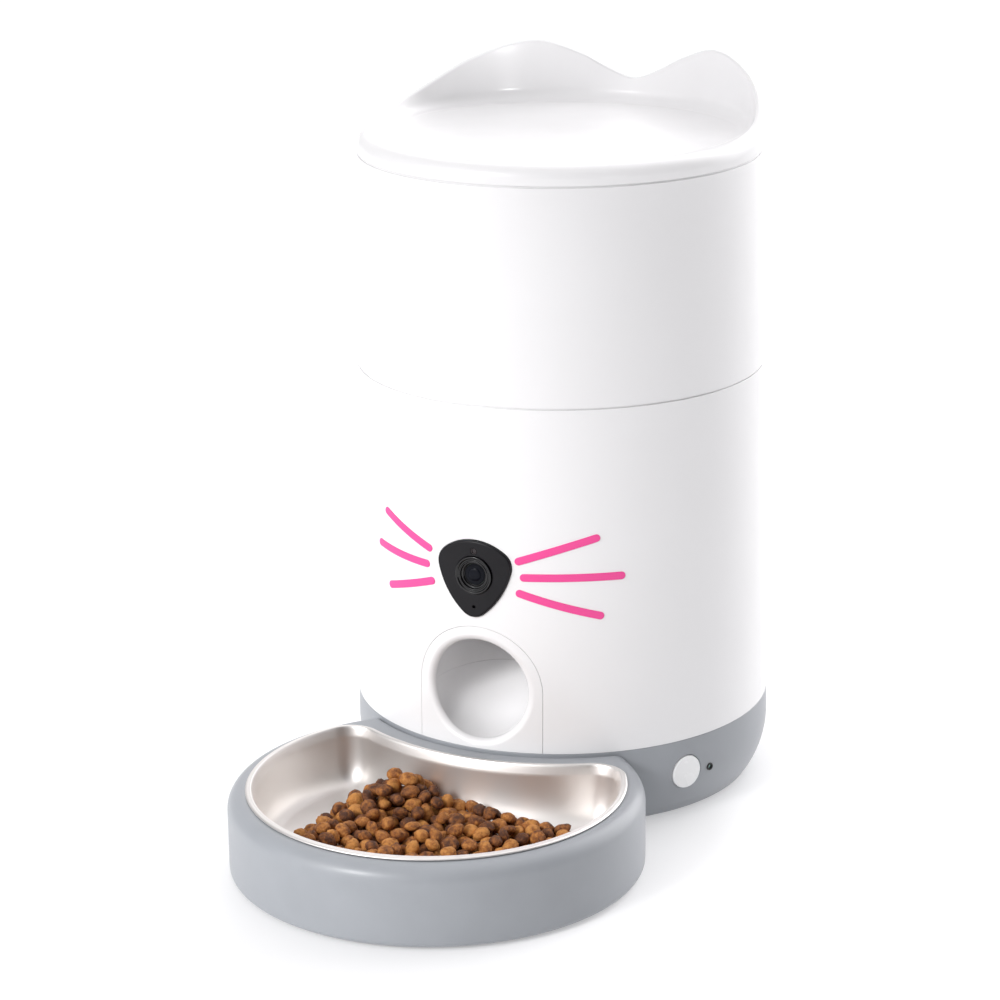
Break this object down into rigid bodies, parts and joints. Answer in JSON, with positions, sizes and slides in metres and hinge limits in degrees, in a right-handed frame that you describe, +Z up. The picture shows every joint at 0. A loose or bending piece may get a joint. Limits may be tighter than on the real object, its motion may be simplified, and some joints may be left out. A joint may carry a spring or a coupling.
{
  "type": "automatic pet feeder",
  "caption": "Round tapered pet feeder: lift-off hopper and lid with a cat-ear wall, geared metering rotor, front chute under a camera nose, docked crescent bowl tray.",
  "frame": {"origin": "on the floor, under the middle of the whole object's box", "axes": "+Z up; -Y towards the bowl, the front; +X towards the side with the push button"},
  "size_m": [0.207, 0.3502, 0.3523],
  "materials": {
    "white_shell": "glossy white moulded ABS",
    "grey_base": "satin blue-grey moulded ABS",
    "grey_tray": "satin blue-grey moulded ABS",
    "inner_white": "matt off-white moulding",
    "rotor_grey": "matt grey moulding",
    "wiper_rubber": "soft silicone",
    "seal_rubber": "soft grey silicone",
    "foot_rubber": "matt black rubber",
    "nose_black": "glossy black",
    "camera_black": "satin black",
    "lens_glass": "coated dark glass",
    "sensor_red": "dark red filter",
    "whisker_pink": "satin pink inlay",
    "bowl_steel": "satin stainless steel",
    "screw_steel": "zinc plated steel",
    "motor_steel": "plated can",
    "gear_acetal": "natural acetal",
    "pinion_brass": "turned brass",
    "bush_bronze": "sintered bronze",
    "board_green": "solder mask",
    "module_tin": "tinned shield",
    "cell_jacket": "printed cell jacket",
    "contact_nickel": "nickel plated",
    "box_black": "matt black moulding",
    "speaker_black": "paper cone and frame",
    "inlet_black": "matt black socket",
    "led_clear": "clear light pipe",
    "button_white": "satin white",
    "desiccant_white": "felt pouch"
  },
  "bodies": {
    "base": {"base_shell": "grey_base", "bottom_plate": "grey_base", "rubber_feet": "foot_rubber", "base_screws": "screw_steel", "battery_box": "box_black", "battery_cells": "cell_jacket", "battery_contacts": "contact_nickel", "lower_shell": "white_shell", "chute_panel": "white_shell", "scoop_lower": "white_shell", "scoop_upper": "white_shell", "chute_duct": "inner_white", "deck_plate": "inner_white", "deck_screws": "screw_steel", "nose_plate": "nose_black", "camera_ring": "camera_black", "camera_lens": "lens_glass", "camera_module": "board_green", "light_sensor": "sensor_red", "microphone": "module_tin", "whiskers": "whisker_pink", "main_board": "board_green", "wifi_module": "module_tin", "board_screws": "screw_steel", "speaker": "speaker_black", "gear_motor": "motor_steel", "motor_bracket": "motor_steel", "motor_screws": "screw_steel", "gear_axle": "screw_steel", "power_inlet": "inlet_black", "status_led": "led_clear", "button_switch": "board_green"},
    "battery_hatch": {"battery_door": "grey_base"},
    "push_button": {"button_cap": "button_white"},
    "drive_gear": {"drive_gear": "gear_acetal"},
    "pinion": {"motor_pinion": "pinion_brass"},
    "hopper": {"hopper_shell": "white_shell", "hopper_bin": "inner_white", "hopper_floor": "inner_white", "portion_cover": "inner_white", "hub_bush": "bush_bronze"},
    "rotor_unit": {"rotor": "rotor_grey", "wiper_blades": "wiper_rubber", "agitator": "rotor_grey"},
    "lid": {"lid_cover": "white_shell", "lid_liner": "inner_white", "lid_seal": "seal_rubber", "desiccant_case": "inner_white", "desiccant_pack": "desiccant_white"},
    "desiccant_lid": {"desiccant_cap": "inner_white"},
    "tray": {"bowl_tray": "grey_tray", "tray_feet": "foot_rubber"},
    "bowl": {"steel_bowl": "bowl_steel"}
  },
  "joints": [
    {"name": "hopper_lift", "type": "slide", "parent": "base", "child": "hopper", "axis": [0, 0, 1], "range_m": [0, 0.12]},
    {"name": "lid_lift", "type": "slide", "parent": "hopper", "child": "lid", "axis": [0, 0, 1], "range_m": [0, 0.15]},
    {"name": "rotor_spin", "type": "hinge", "parent": "hopper", "child": "rotor_unit", "pos_m": [0, 0.07158, 0.2], "axis": [0, 0, 1], "continuous": true},
    {"name": "drive_gear_spin", "type": "hinge", "parent": "base", "child": "drive_gear", "pos_m": [0, 0.07158, 0.192], "axis": [0, 0, 1], "continuous": true},
    {"name": "pinion_spin", "type": "hinge", "parent": "base", "child": "pinion", "pos_m": [0, 0.11758, 0.192], "axis": [0, 0, 1], "continuous": true},
    {"name": "button_press", "type": "slide", "parent": "base", "child": "push_button", "axis": [-0.8572, 0.515, 0], "range_m": [0, 0.0012], "stiffness_N_per_m": 600, "springref_m": -0.0015},
    {"name": "battery_door_slide", "type": "slide", "parent": "base", "child": "battery_hatch", "axis": [0, 1, 0], "range_m": [0, 0.008]},
    {"name": "tray_slide", "type": "slide", "parent": "base", "child": "tray", "axis": [0, -1, 0], "range_m": [0, 0.12]},
    {"name": "bowl_lift", "type": "slide", "parent": "tray", "child": "bowl", "axis": [0, 0, 1], "range_m": [0, 0.08]},
    {"name": "desiccant_twist", "type": "hinge", "parent": "lid", "child": "desiccant_lid", "pos_m": [0, 0.07158, 0.295], "axis": [0, 0, 1], "range_deg": [0, 30]}
  ],
  "couplings": [
    {"joint": "drive_gear_spin", "follows": "rotor_spin", "ratio": 1},
    {"joint": "pinion_spin", "follows": "rotor_spin", "ratio": -2.8333}
  ]
}
